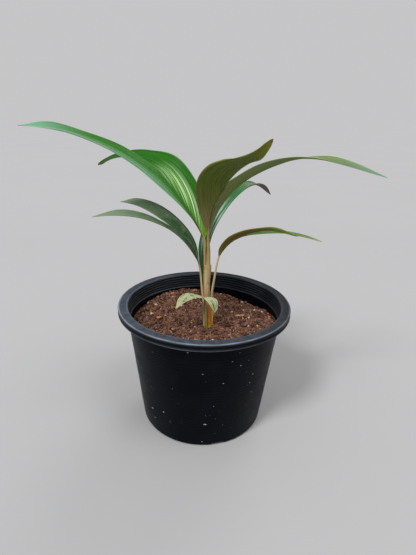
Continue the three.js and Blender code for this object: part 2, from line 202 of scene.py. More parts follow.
LEAVES = {
    "leaf_upper_left": dict(
        slot="leaf_bright",
        petiole=((-0.6, -13, 182), (-0.5, -13, 206), (-1.2, -13, 220), (-2.2, -12, 232)),
        midrib=((-22, -9, 267), (-53, -2, 304)),
        radii=(1.7, 1.7, 1.4, 0.65, 0.42, 0.34, 0.3),
        halves=(
            Half(1, 7, "misty_green", (
                (-86, -24, 329), (-118, -40, 342), (-145, -54, 350), (-167, -66, 346),
            ), (
                (-7, -14, 242), (-14, -26, 257), (-43, -34, 287), (-66, -42, 308), (-97, -52, 329),
                (-128, -62, 342), (-166, -68, 346),
            )),
            Half(-1, 8, "fresh_green", ((-73, 25, 309), (-97, 55, 311), (-122, 88, 306), (-147, 122, 293)), (
                (2.5, -9, 243), (0.5, -2, 262), (-11, 8, 289), (-34, 22, 315), (-68, 45, 321), (-98, 70, 318),
                (-128, 98, 308), (-151, 120, 296),
            )),
        ),
    ),
    "leaf_upper_right": dict(
        slot="leaf_olive",
        petiole=((3.3, -15.6, 182), (3, -16.4, 207), (2.8, -19, 222), (2, -23, 238)),
        midrib=((6, -36, 272), (20, -52, 301)),
        radii=(2.3, 2.5, 2.2, 1.2, 0.6, 0.45, 0.4, 0.35),
        halves=(
            Half(-1, 8, "olive_brown", ((27, -80, 314), (34, -104, 323), (40, -126, 328), (44, -158, 343)), (
                (-9, -36, 272), (-10, -58, 301), (-1, -76, 317), (11, -92, 324), (23, -112, 327),
                (33, -134, 334), (41, -158, 345),
            )),
            Half(1, 7, "olive_green", (
                (47, -52, 317), (77, -46, 324), (107, -40, 323), (137, -34, 316), (181, -26, 305),
            ), (
                (7, -21, 258), (18, -20, 275), (35, -24, 296), (67, -28, 315), (113, -24, 325),
                (142, -22, 321), (181, -25, 306),
            )),
        ),
    ),
    "leaf_back": dict(
        slot="leaf_dark",
        petiole=((3, -9, 116), (2, -7, 135), (0, -2, 153), (-1, 3, 172)),
        midrib=((0, 12, 214), (9, 34, 260)),
        radii=(1.2, 1.2, 1.1, 0.8, 0.5, 0.4),
        halves=(
            Half(-1, 6, "deep_green", ((31, 56, 278), (50, 81, 284), (65, 97, 278), (86, 114, 261)), (
                (5, 8, 228), (22, 22, 258), (46, 46, 280), (61, 68, 283), (76, 92, 277), (87, 112, 264),
            )),
            Half(1, 6, "deep_green", ((8, 72, 279), (4, 106, 288), (0, 142, 281)), (
                (-6.5, 4, 194), (-9, 9, 214), (-6, 23, 229), (1, 60, 258), (1, 104, 280), (-1, 142, 281),
            )),
        ),
    ),
    "leaf_lower_left": dict(
        slot="leaf_dull",
        petiole=((1, -15, 116), (0, -15, 136), (-1, -16, 156), (-3, -16, 172), (-7, -19, 204)),
        midrib=((-15, -24, 229), (-38, -32, 251)),
        radii=(1.4, 1.35, 1.3, 1.2, 0.9, 0.55, 0.4),
        halves=(
            Half(1, 5, "dusty_green", ((-62, -44, 266), (-84, -56, 272), (-106, -74, 269)), (
                (-13, -34, 222), (-31, -46, 247), (-60, -58, 264), (-86, -68, 269), (-106, -75, 268),
            )),
            Half(-1, 6, "dusty_green", ((-60, -20, 262), (-78, -8, 267), (-97, 8, 267)), (
                (-11, -16, 228), (-27, -12, 251), (-51, -4, 267), (-78, 4, 272), (-97, 9, 267),
            )),
        ),
    ),
    "leaf_lower_right": dict(
        slot="leaf_olive",
        petiole=((9, -13, 116), (9, -13, 149), (8, -13, 164), (10, -15, 184), (14, -20, 213)),
        midrib=((19, -25, 227), (26, -29, 235), (40, -38, 245)),
        radii=(1.6, 1.4, 1.3, 1.1, 0.7, 0.45),
        halves=(
            Half(-1, 4, "olive_gold", ((51, -56, 254), (62, -75, 260), (80, -102, 262)), (
                (14, -28, 227), (22, -38, 242), (36, -50, 253), (50, -64, 260), (64, -82, 265),
                (80, -102, 263),
            )),
            Half(1, 5, "grass_green", ((58, -42, 248), (80, -44, 250), (98, -45, 247), (118, -46, 242)), (
                (18, -18, 223), (35, -18, 238), (59, -24, 247), (84, -35, 249.5), (102, -42, 247.5),
                (118, -45, 243),
            )),
        ),
    ),
    "leaf_seedling": dict(
        slot="leaf_pale",
        petiole=((2, -19, 116), (2, -20, 130), (1, -22, 150), (0, -26, 167)),
        midrib=((-1, -28, 169), (-1, -31, 170)),
        radii=(1.7, 1.6, 1.2, 0.7),
        groove_turn=180,
        halves=(
            Half(-1, 5, "variegated", ((-11, -36, 171), (-23, -39, 166), (-32, -38, 158)), (
                (-9, -24, 170), (-21, -24, 171), (-29, -29, 167), (-32, -37, 159),
            )),
            Half(1, 4, "variegated", ((4, -36, 166), (8, -39, 161), (11, -38, 155)), (
                (6, -24, 167), (13, -26, 165), (14.5, -31, 159), (12, -37, 155),
            )),
        ),
    ),
}


# ---- helpers for lines and surfaces ----

LINE_STEPS = 40


def unit(vectors):
    return vectors / np.maximum(np.linalg.norm(vectors, axis=-1, keepdims=True), 1e-12)


def full_turn(steps):
    """The angles of equal steps round a circle."""
    return 2 * math.pi * np.arange(steps) / steps


def smoothstep(low, high, value):
    share = np.clip((value - low) / (high - low), 0, 1)
    return share * share * (3 - 2 * share)


def smooth_line(points):
    """Points on a centripetal Catmull-Rom curve through the given ones, LINE_STEPS for each stretch."""
    points = np.asarray(points, float)
    ends = [2 * points[0] - points[1], *points, 2 * points[-1] - points[-2]]
    share = np.arange(LINE_STEPS)[:, None] / LINE_STEPS
    line = []
    for a, b, c, d in zip(ends, ends[1:], ends[2:], ends[3:]):
        before, here, after = (max(np.linalg.norm(q - p), 1e-9) ** 0.5 for p, q in ((a, b), (b, c), (c, d)))
        start = (b - a) / before - (c - a) / (before + here) + (c - b) / here
        end = (c - b) / here - (d - b) / (here + after) + (d - c) / after
        start, end = start * here, end * here
        square = (3 * (c - b) - 2 * start - end) * share**2
        line.append(b + start * share + square + (2 * (b - c) + start + end) * share**3)
    return np.vstack([*line, points[-1:]])


def lengths_along(line):
    return np.concatenate([[0], np.cumsum(np.linalg.norm(np.diff(line, axis=0), axis=1))])


def evenly(line, count):
    """count points at equal distances along a dense line."""
    reached = lengths_along(line)
    wanted = np.linspace(0, reached[-1], count)
    return np.stack([np.interp(wanted, reached, line[:, axis]) for axis in range(3)], 1)


def noise_at(points, per_metre, shift=0.0):
    """Smooth noise, about -0.8 to 0.8, at each point."""
    offset = Vector((shift, -shift, 0.5 * shift))
    return np.array([noise.noise(Vector(p) * per_metre + offset) for p in points])


def grid_quads(rows, columns, closed=False):
    """Quads of a grid of points stored row by row. closed joins each row's last point to its first."""
    across = columns if closed else columns - 1
    places = np.meshgrid(np.arange(rows - 1), np.arange(across), indexing="ij")
    row, column = (axis.ravel() for axis in places)
    after = (column + 1) % columns
    low, high = row * columns, (row + 1) * columns
    return np.stack([low + column, low + after, high + after, high + column], 1)


def signed_volume(points, face_sets):
    total = 0.0
    for faces in face_sets:
        first = points[faces[:, 0]]
        for k in range(1, faces.shape[1] - 1):
            total += np.einsum("ij,ij->", first, np.cross(points[faces[:, k]], points[faces[:, k + 1]]))
    return total / 6


def as_one(parts):
    """Many small shapes, each its points and arrays of faces, as the points and arrays of one mesh."""
    firsts = np.cumsum([0, *(len(points) for points, _ in parts)])
    faces = [part + first for (_, face_sets), first in zip(parts, firsts) for part in face_sets]
    corner_counts = sorted({part.shape[1] for part in faces}, reverse=True)
    joined = [np.vstack([part for part in faces if part.shape[1] == corners]) for corners in corner_counts]
    return np.vstack([points for points, _ in parts]), joined


def add_object(name, data):
    made = bpy.data.objects.new(name, data)
    bpy.context.scene.collection.objects.link(made)
    return made


def make_object(name, points, face_sets, material, attributes=None):
    """A smooth mesh object from points and arrays of triangles or quads, made to face out."""
    points = np.asarray(points, float)
    if signed_volume(points, face_sets) < 0:
        face_sets = [faces[:, ::-1] for faces in face_sets]
    sizes = np.concatenate([np.full(len(faces), faces.shape[1]) for faces in face_sets])
    corners = np.concatenate([faces.ravel() for faces in face_sets])
    mesh = bpy.data.meshes.new(name)
    mesh.vertices.add(len(points))
    mesh.vertices.foreach_set("co", points.astype(np.float32).ravel())
    mesh.loops.add(len(corners))
    mesh.loops.foreach_set("vertex_index", corners.astype(np.int32))
    mesh.polygons.add(len(sizes))
    mesh.polygons.foreach_set("loop_start", np.concatenate([[0], np.cumsum(sizes)[:-1]]).astype(np.int32))
    mesh.polygons.foreach_set("use_smooth", np.ones(len(sizes), bool))
    mesh.update(calc_edges=True)
    for key, values in (attributes or {}).items():
        layer = mesh.attributes.new(key, "FLOAT", "POINT")
        layer.data.foreach_set("value", np.asarray(values, np.float32).ravel())
    mesh.materials.append(material)
    return add_object(name, mesh)


def tube_faces(rows, sides):
    """A closed grid with a centre point added after it at each end."""
    count = rows * sides
    around = np.arange(sides)
    after = (around + 1) % sides
    start = np.stack([np.full(sides, count), after, around], 1)
    last = (rows - 1) * sides
    end = np.stack([np.full(sides, count + 1), last + around, last + after], 1)
    return [grid_quads(rows, sides, closed=True), start, end]


def tube_rings(line, side_axis, radius):
    """Rings of radius (rows by sides) round a line, then its two ends' centres. Side 0 faces up or in."""
    tangent = unit(np.gradient(line, axis=0))
    upper = unit(np.cross(tangent, side_axis))
    side = np.cross(upper, tangent)
    angle = full_turn(radius.shape[1])[None, :, None]
    out = upper[:, None] * np.cos(angle) + side[:, None] * np.sin(angle)
    rings = line[:, None] + out * radius[:, :, None]
    return np.vstack([rings.reshape(-1, 3), line[:1], line[-1:]])


def finish_piece(piece, slot, *nodes):
    """The piece rides on the one body and stands for the nodes, if any; the slot is not used."""
    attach(piece, "root")
    if nodes:
        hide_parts(*nodes)
    return piece


# ---- materials ----

MIX_COLOUR_A, MIX_COLOUR_B, MIX_COLOUR_RESULT = 6, 7, 2


def linear(tone):
    """A tone, a display colour from 0 to 255, as the linear colour that shaders take. A socket stays one."""
    if isinstance(tone, bpy.types.NodeSocket):
        return tone
    shares = (value / 255 for value in tone)
    return tuple(share / 12.92 if share < 0.04045 else ((share + 0.055) / 1.055) ** 2.4 for share in shares)


class Shader:
    """A Principled material put together node by node. A value is a socket, a number or a vector."""

    def __init__(self, name, **constants):
        self.material = bpy.data.materials.new(name)
        self.material.use_nodes = True
        self.tree = self.material.node_tree
        self.place = self.add("TexCoord").outputs["Object"]
        self.to_surface(**constants)

    def feed(self, socket, value):
        if isinstance(value, bpy.types.NodeSocket):
            self.tree.links.new(value, socket)
        elif socket.type == "RGBA":
            socket.default_value = (*value, 1)
        else:
            socket.default_value = value

    def add(self, kind, inputs=(), **settings):
        """A new node with its settings, and its inputs by name or number or as a list in their order."""
        node = self.tree.nodes.new("ShaderNode" + kind)
        for key, value in settings.items():
            setattr(node, key, value)
        for key, value in inputs.items() if isinstance(inputs, dict) else enumerate(inputs):
            self.feed(node.inputs[key], value)
        return node

    def to_surface(self, **values):
        """Feeds the surface's own inputs and gives the material."""
        surface = self.tree.nodes["Principled BSDF"]
        for name, value in values.items():
            self.feed(surface.inputs[name.replace("_", " ")], value)
        return self.material

    def attribute(self, name):
        return self.add("Attribute", attribute_name=name).outputs["Fac"]

    def facing_up(self):
        normal = self.add("NewGeometry").outputs["Normal"]
        return self.add("SeparateXYZ", [normal]).outputs["Z"]

    def dot(self, direction):
        """How far along a direction each place in the object is, in metres."""
        return self.add("VectorMath", [self.place, direction], operation="DOT_PRODUCT").outputs["Value"]

    def stretched(self, x, y, z):
        return self.add("Mapping", {"Vector": self.place, "Scale": (x, y, z)}).outputs["Vector"]

    def joined(self, x, y, z=0.0):
        return self.add("CombineXYZ", [x, y, z]).outputs["Vector"]

    def noise(self, scale, detail=3.0, roughness=0.55, vector=None):
        inputs = {"Vector": vector or self.place, "Scale": scale, "Detail": detail, "Roughness": roughness}
        return self.add("TexNoise", inputs).outputs["Fac"]

    def cells(self, scale, vector=None, output="Distance"):
        return self.add("TexVoronoi", {"Vector": vector or self.place, "Scale": scale}).outputs[output]

    def math(self, operation, first, second=0.0):
        return self.add("Math", [first, second], operation=operation).outputs[0]

    def times(self, product, *values):
        for value in values:
            product = self.math("MULTIPLY", product, value)
        return product

    def span(self, value, low, high, to_low=0.0, to_high=1.0):
        """value from low..high to to_low..to_high, eased at both ends and held beyond them."""
        given = [value, low, high, to_low, to_high]
        return self.add("MapRange", given, interpolation_type="SMOOTHSTEP").outputs[0]

    def hill(self, value, low, high):
        """0 outside low..high, rising smoothly to 1 in the middle."""
        middle = (low + high) / 2
        return self.times(self.span(value, low, middle), self.span(value, high, middle))

    def mix(self, factor, first, second):
        inputs = {"Factor": factor, MIX_COLOUR_A: first, MIX_COLOUR_B: second}
        return self.add("Mix", inputs, data_type="RGBA").outputs[MIX_COLOUR_RESULT]

    def layered(self, colour, *layers):
        """The colour with tones laid over it, each by its value, or by the value's span where given."""
        for value, between, tone in layers:
            factor = self.span(value, *between) if between else value
            colour = self.mix(factor, linear(colour), linear(tone))
        return colour

    def bump(self, height, distance, strength, under=None):
        inputs = {"Height": height, "Distance": distance, "Strength": strength}
        if under is not None:
            inputs["Normal"] = under
        return self.add("Bump", inputs).outputs["Normal"]


def pot_plastic():
    """Black blow-moulded plastic with a bluish film: scuffed round it, dusty on top, worn pale on edges.
    Painted light lightens the top and the left and front side; the pale edges and rib crests are partly
    painted highlight.
    """
    shader = Shader("pot_plastic", IOR=1.48, Specular_IOR_Level=0.06)
    turn, height = shader.attribute("turn"), shader.attribute("height")
    course = shader.joined(shader.times(turn, 60.0), shader.times(height, 1300.0))
    scuffs = shader.noise(1.0, 4.0, 0.7, course)
    film = shader.span(shader.times(shader.noise(26.0, 5.0, 0.62), scuffs), 0.14, 0.42)
    grime = shader.span(shader.noise(130.0, 5.0, 0.7), 0.3, 0.7, 0.45, 1.0)
    # painted light: near 1 on the lit left and front side, 0.1 on the far side
    lit_side = shader.span(shader.dot((1.0, 0.7, 0.0)), -0.09, 0.09, 1.0, 0.1)
    # dusty upward faces, made lighter on the lit side as painted light
    dust_and_painted_light = shader.times(shader.span(shader.facing_up(), 0.3, 0.95), grime, lit_side)
    scuffed, lit = shader.span(scuffs, 0.3, 0.66, 0.25, 1.0), shader.span(lit_side, 0.1, 1.0, 0.45, 1.0)
    # pale lines and rib crests: partly worn, partly painted highlight, fading into painted shade on the far
    # side
    rubbed_and_highlit = shader.times(shader.attribute("wear_and_highlights"), scuffed, lit)
    return shader.to_surface(
        # a dusty tone with painted light on top, and a pale tone for worn edges and painted highlights
        Base_Color=shader.layered(
            (2, 4, 8), (film, (), (11, 14, 22)), (dust_and_painted_light, (), (70, 78, 88)), (rubbed_and_highlit, (), (150, 160, 172))),
        Roughness=shader.span(shader.math("ADD", film, dust_and_painted_light), 0.0, 1.6, 0.36, 0.62),
        Normal=shader.bump(scuffs, 0.00008, 0.35, shader.bump(shader.noise(420.0, 3.0), 0.00010, 0.25)),
    )


def soil(name="soil"):
    """Moist crumbly potting mix: dark red-brown, with brick-coloured and straw-coloured grains, and painted
    shade in the hollows of its relief.
    """
    shader = Shader(name, IOR=1.4)
    coarse = shader.noise(160.0, 6.0, 0.7)
    grain = shader.cells(760.0, output="Color")
    colour = shader.layered(
        (58, 37, 29),
        (coarse, (0.3, 0.7), (126, 86, 67)),
        (grain, (0.62, 0.95, 0.0, 0.6), (158, 116, 90)),
        (grain, (0.22, 0.05, 0.0, 0.75), (24, 16, 13)),
        (shader.cells(330.0, output="Color"), (0.74, 0.9, 0.0, 0.45), (150, 88, 58)),
    )
    return shader.to_surface(
        # near-black painted shade in the hollows of the relief
        Base_Color=shader.layered(
            (20, 13, 10), (shader.attribute("unshaded"), (0.15, 0.6, 0.25, 1.0), colour)),
        Roughness=shader.span(coarse, 0.2, 0.8, 0.96, 0.78),
        Normal=shader.bump(shader.noise(900.0, 5.0, 0.7), 0.0006, 0.8),
    )


def crumbs_material():
    """Loose crumbs and grit. Each crumb carries its own tone and how brick-coloured it is."""
    shader = Shader("soil_crumbs", IOR=1.4)
    grain = shader.noise(1500.0, 4.0, 0.65)
    shifted = shader.math("ADD", shader.attribute("tone"), shader.span(grain, 0.3, 0.7, -0.18, 0.18))
    brown = shader.layered(
        (34, 21, 16), (shifted, (0.0, 0.55), (120, 80, 58)), (shifted, (0.55, 1.0), (206, 176, 146)))
    brick = shader.layered((142, 74, 44), (grain, (0.3, 0.7), (196, 122, 82)))
    return shader.to_surface(
        Base_Color=shader.layered(brown, (shader.attribute("brick"), (), brick)),
        Roughness=shader.span(grain, 0.2, 0.8, 0.95, 0.72),
        Normal=shader.bump(grain, 0.0003, 0.7),
    )


def bark_material(name, dark, light):
    """Shredded bark: fibres along the chip, darker in the cracks."""
    shader = Shader(name, IOR=1.42)
    fibres = shader.noise(1.0, 4.0, 0.7, shader.stretched(260.0, 1500.0, 1500.0))
    patches = shader.noise(380.0, 3.0)
    return shader.to_surface(
        Base_Color=shader.layered(
            dark, (fibres, (0.3, 0.72), light), (patches, (0.62, 0.4, 0.0, 0.6), dark)),
        Roughness=shader.span(patches, 0.3, 0.7, 0.7, 0.92),
        Normal=shader.bump(fibres, 0.0004, 0.8),
    )


GRAINY_LOOKS = {
    # index of refraction, noise, darker and lighter tone, the noise's span between them, roughness and bump
    "grit": (
        1.5, (1300.0, 4.0, 0.7), (128, 118, 104), (206, 198, 182), (0.35, 0.65), (0.55, 0.85), (0.0002, 0.5)),
    "root": (
        1.4, (240.0, 4.0, 0.65), (120, 88, 58), (188, 158, 116), (0.3, 0.7), (0.7, 0.9), (0.0003, 0.6)),
    # pale tone partly a painted highlight of water drops
    "splash_highlight_marks": (
        1.4, (1600.0,), (96, 100, 106), (176, 180, 184), (0.3, 0.7), (0.35, 0.7), (0.0001, 0.4)),
}


def grainy_material(name):
    """Stone, root skin or the pot's splash marks, whose pale tone is partly a painted highlight of water
    drops: one noise mixes two tones and makes it uneven.
    """
    ior, grain, dark, light, between, roughness, relief = GRAINY_LOOKS[name]
    shader = Shader(name, IOR=ior)
    speckle = shader.noise(*grain)
    return shader.to_surface(
        Base_Color=shader.layered(dark, (speckle, between, light)),
        Roughness=shader.span(speckle, 0.3, 0.7, *roughness),
        Normal=shader.bump(speckle, *relief),
    )


def stem_material():
    """Sheathed stem: yellow-green at the soil, rust brown above it and pale pinkish tan at the top."""
    shader = Shader("stem_sheath", IOR=1.42)
    height = shader.attribute("along")
    stripes = shader.noise(1.0, 4.0, 0.6, shader.stretched(900.0, 900.0, 28.0))
    spots = shader.span(shader.cells(1.0, shader.stretched(620.0, 620.0, 330.0)), 0.34, 0.18)
    spotted = shader.times(spots, shader.span(height, 0.62, 0.25, 0.0, 0.85))
    return shader.to_surface(
        Base_Color=shader.layered(
            (192, 178, 44),
            (height, (0.13, 0.24), (208, 136, 54)),
            (height, (0.3, 0.62), (188, 152, 104)),
            (height, (0.6, 0.95), (184, 160, 120)),
            (stripes, (0.52, 0.7, 0.0, 0.6), (132, 96, 62)),
            (stripes, (0.46, 0.3, 0.0, 0.5), (228, 208, 168)),
            (spotted, (), (62, 34, 20)),
            # darker brown along the seams: the seam's own tone and painted shade under each overlapping
            # sheath edge
            (shader.attribute("seam"), (), (112, 78, 50)),
        ),
        Roughness=shader.span(stripes, 0.3, 0.7, 0.46, 0.66),
        Normal=shader.bump(stripes, 0.0003, 0.6),
    )


STALK_COLOURS = {
    # foot, middle, top and groove
    "leaf_upper_left": ((196, 156, 104), (178, 146, 84), (66, 130, 28), (112, 106, 42)),
    "leaf_upper_right": ((192, 164, 112), (178, 150, 98), (70, 52, 28), (104, 76, 46)),
    "leaf_back": ((140, 140, 76), (108, 122, 66), (76, 98, 48), (50, 70, 34)),
    "leaf_lower_left": ((206, 186, 138), (196, 172, 128), (80, 108, 64), (110, 112, 64)),
    "leaf_lower_right": ((232, 186, 62), (206, 184, 136), (150, 146, 92), (150, 116, 66)),
    "leaf_seedling": ((196, 168, 84), (196, 176, 120), (150, 150, 96), (48, 84, 26)),
}


def stalk_material(leaf_name):
    """Leaf stalk: three tones from foot to blade, fine stripes along it and a darker groove on top."""
    foot, middle, top, groove = STALK_COLOURS[leaf_name]
    shader = Shader(leaf_name + "_stalk", IOR=1.42)
    share = shader.attribute("along")
    stripes = shader.noise(1.0, 4.0, 0.6, shader.stretched(800.0, 800.0, 30.0))
    return shader.to_surface(
        Base_Color=shader.layered(
            foot,
            (share, (0.1, 0.35), middle),
            (share, (0.6, 0.74), top),
            (stripes, (0.5, 0.66, 0.0, 0.5), groove),
            (shader.times(shader.attribute("groove"), 1.2), (), groove),
        ),
        Roughness=shader.span(stripes, 0.3, 0.7, 0.42, 0.6),
        Normal=shader.bump(stripes, 0.0002, 0.5),
    )


# what a blade has unless its look says otherwise
PLAIN_BLADE = dict(
    # the highlight tone and the sheen tone below are a painted highlight and a painted sheen
    specular=0.25, coat=0.05, cloud_scale=34.0, cloud_share=0.3, foot_reach=0.2, tip_from=0.72,
    tip_share=0.65, gloss=(220, 230, 205), painted_sheen=(150, 176, 140), painted_sheen_share=0.0, edge_share=0.4,
    end=(120, 104, 66), end_share=0.0,
    # where the painted highlight streaks start and end along the blade and across it, and how strong they are
    streaks=(0.1, 0.5, 0.1, 0.7, 0.0), streak_count=1.9, lit_patch_share=0.0,
)

BLADE_LOOKS = {
    # painted highlight streaks and a painted lit patch on the upper side
    "fresh_green": dict(
        dark=(10, 62, 2), light=(40, 114, 12), pale=(70, 140, 40), under_dark=(40, 70, 24),
        under_light=(92, 118, 60), foot=(112, 168, 36), tip=(58, 92, 40), specular=0.12,
        gloss=(206, 236, 190), streaks=(-0.02, 0.46, -0.1, 0.82, 1.25), streak_count=3.2, lit_patch_share=0.55,
        edge=(84, 136, 60), edge_far=(70, 110, 48), end_share=0.7,
    ),
    # the pale mint tip and pale far edge are painted sheen, with more painted sheen towards the outer margin
    "misty_green": dict(
        dark=(12, 70, 6), light=(60, 132, 30), pale=(80, 144, 60), under_dark=(40, 70, 24),
        under_light=(92, 118, 60), foot=(96, 156, 24), tip=(132, 182, 148), tip_from=0.7, tip_share=0.95,
        cloud_share=0.15, specular=0.08, coat=0.0, painted_sheen=(160, 200, 172), painted_sheen_share=0.8,
        edge=(104, 150, 92), edge_far=(160, 200, 168),
    ),
    "olive_brown": dict(
        dark=(60, 78, 26), light=(100, 116, 48), pale=(130, 134, 92), under_dark=(58, 76, 18),
        under_light=(104, 120, 42), foot=(150, 128, 92), foot_reach=0.4, tip=(158, 154, 16),
        edge=(124, 84, 52), edge_far=(150, 156, 62), edge_share=0.85, end=(140, 96, 70), end_share=0.8,
    ),
    "olive_green": dict(
        dark=(72, 92, 32), light=(120, 138, 66), pale=(146, 170, 120), under_dark=(72, 90, 24),
        under_light=(118, 134, 60), foot=(130, 114, 72), foot_reach=0.3, tip=(126, 160, 136), tip_from=0.62,
        tip_share=0.8, edge=(150, 146, 92), edge_far=(176, 196, 152), edge_share=0.85,
    ),
    "olive_gold": dict(
        dark=(72, 80, 30), light=(112, 112, 50), pale=(134, 134, 84), under_dark=(90, 78, 26),
        under_light=(124, 110, 48), foot=(158, 134, 72), tip=(120, 148, 72), tip_from=0.5, tip_share=0.9,
        edge=(156, 128, 70), edge_far=(162, 160, 84), edge_share=0.6,
    ),
    "grass_green": dict(
        dark=(44, 88, 34), light=(84, 134, 60), pale=(130, 168, 112), under_dark=(56, 74, 30),
        under_light=(98, 114, 56), foot=(132, 118, 62), tip=(160, 156, 98), edge=(142, 138, 84),
        edge_far=(158, 164, 104), edge_share=0.5,
    ),
    # painted bluish-white highlight streaks on the upper side
    "deep_green": dict(
        dark=(16, 62, 22), light=(52, 116, 54), pale=(120, 166, 124), under_dark=(44, 46, 20),
        under_light=(92, 92, 52), foot=(60, 104, 50), tip=(92, 84, 48), tip_from=0.6, gloss=(196, 222, 214),
        streaks=(0.08, 0.56, -0.1, 1.1, 1.0), streak_count=0.8, edge=(104, 128, 84), edge_far=(120, 110, 76),
        end_share=0.6,
    ),
    # a light painted sheen towards the outer margin
    "dusty_green": dict(
        dark=(18, 46, 20), light=(58, 92, 50), pale=(126, 152, 120), under_dark=(50, 64, 36),
        under_light=(100, 116, 72), foot=(54, 86, 38), tip=(138, 162, 128), tip_from=0.42, tip_share=0.75,
        cloud_scale=90.0, cloud_share=0.4, specular=0.15, painted_sheen_share=0.3, edge=(140, 150, 108),
        edge_far=(164, 172, 130),
    ),
    "variegated": dict(
        dark=(128, 142, 100), light=(192, 194, 152), pale=(70, 104, 66), under_dark=(120, 124, 74),
        under_light=(172, 172, 126), foot=(116, 104, 52), tip=(222, 206, 158), cloud_scale=210.0,
        cloud_share=2.4, edge=(232, 212, 160), edge_far=(232, 212, 162), edge_share=0.95,
    ),
}


def blade_material(name):
    """A leaf blade: veins from the midrib to the tip, a shiny upper side and a duller underside, with painted
    highlight streaks, a painted lit patch and a painted sheen on some looks.
    """
    look = {**PLAIN_BLADE, **BLADE_LOOKS[name]}
    shader = Shader(
        name, IOR=1.4, Specular_IOR_Level=look["specular"], Coat_Weight=look["coat"], Coat_Roughness=0.3)
    vein, along, across, upper = (shader.attribute(key) for key in ("vein", "along", "across", "upper"))
    turn = shader.times(vein, 2 * math.pi)
    ridge = shader.times(shader.span(shader.math("COSINE", turn), -0.2, 1.0), 0.35)
    threads = shader.span(shader.math("COSINE", shader.times(turn, 5.0)), 0.1, 1.0)
    course = shader.joined(shader.times(vein, 6.0), shader.times(along, 2.6), upper)
    fine = shader.span(shader.noise(1.0, 5.0, 0.7, course), 0.3, 0.68)
    cloud = shader.noise(look["cloud_scale"], 4.0, 0.6)
    face = shader.layered(
        look["dark"],
        (fine, (), look["light"]),
        (ridge, (), look["light"]),
        (cloud, (0.5, 0.74, 0.0, look["cloud_share"]), look["pale"]),
    )
    back = shader.layered(
        look["under_dark"],
        (fine, (), look["under_light"]),
        (ridge, (), look["under_light"]),
        (cloud, (0.5, 0.75, 0.0, 0.4), look["under_dark"]),
    )
    foot = shader.times(shader.span(along, look["foot_reach"], 0.0), shader.span(fine, 0.0, 1.0, 0.35, 0.9))
    low, high, inside, outside, strength = look["streaks"]
    # where highlight streaks and a brighter lit patch are painted, on the upper side only
    patch = shader.times(shader.hill(along, low, high), shader.hill(across, inside, outside), upper)
    streaks = shader.joined(shader.times(vein, look["streak_count"]), shader.times(along, 1.6), 3.0)
    highlight_share = shader.span(shader.noise(1.0, 3.0, 0.5, streaks), 0.44, 0.56, 0.0, strength)
    # painted sheen towards the outer margin
    painted_sheen = shader.span(across, 0.45, 0.95, 0.0, look["painted_sheen_share"])
    margin = shader.math("MAXIMUM", shader.span(across, 0.955, 0.99), shader.span(across, 0.03, 0.008))
    edge = shader.layered(look["edge"], (along, (0.35, 0.65), look["edge_far"]))
    return shader.to_surface(
        Base_Color=shader.layered(
            back,
            (upper, (), face),
            (shader.times(threads, 0.12), (), look["pale"]),
            (foot, (), look["foot"]),
            # the tip tone of misty_green is a painted sheen
            (along, (look["tip_from"], 1.0, 0.0, look["tip_share"]), look["tip"]),
            # a painted lit patch, then painted highlight streaks
            (shader.times(patch, look["lit_patch_share"]), (), look["foot"]),
            (shader.times(highlight_share, patch), (), look["gloss"]),
            (shader.times(painted_sheen, fine, shader.span(along, 0.1, 0.4)), (), look["painted_sheen"]),
            (shader.times(margin, look["edge_share"]), (), edge),
            (along, (0.965, 0.985, 0.0, look["end_share"]), look["end"]),
        ),
        Roughness=shader.span(fine, 0.0, 1.0, 0.3, 0.48),
        Normal=shader.bump(threads, 0.00015, 0.6, shader.bump(fine, 0.0003, 0.4)),
    )


# ---- camera, lights and floor ----

CAMERA_PLACE = (0, -0.43906, 0.35436)
CAMERA_DOWN = 21.42
CAMERA_RIGHT = 0.43
CAMERA_ROLL = 1.66
CAMERA_LENS = 25.95
CAMERA_SENSOR = 36
BACKDROP_COLOUR = (0.56, 0.56, 0.57)
LAMPS = (
    # name, turn, height and spread in degrees, strength
    ("key_light", 40, 50, 14, 2.2),
    ("top_light", -50, 66, 24, 0.7),
    ("back_light", 205, 38, 30, 0.6),
)
FLOOR_REACH = 60
FLOOR_MOTTLE = 0.012


def make_camera():
    data = bpy.data.cameras.new("camera")
    data.lens = CAMERA_LENS
    data.sensor_width = CAMERA_SENSOR
    camera = add_object("camera", data)
    camera.matrix_world = (
        Matrix.Translation(CAMERA_PLACE)
        @ Matrix.Rotation(math.radians(-CAMERA_RIGHT), 4, "Z")
        @ Matrix.Rotation(math.radians(90 - CAMERA_DOWN), 4, "X")
        @ Matrix.Rotation(math.radians(CAMERA_ROLL), 4, "Z")
    )
    bpy.context.scene.camera = camera


def soft_sun(name, turn, height, spread, strength):
    """A distant lamp, with its turn (0 is in front, 90 at the left), height and spread in degrees."""
    data = bpy.data.lights.new(name, "SUN")
    data.angle = math.radians(spread)
    data.energy = strength
    light = add_object(name, data)
    level = math.cos(math.radians(height))
    turn = math.radians(turn)
    towards = Vector((-math.sin(turn) * level, -math.cos(turn) * level, math.sin(math.radians(height))))
    light.rotation_mode = "QUATERNION"
    light.rotation_quaternion = (-towards).to_track_quat("-Z", "Y")


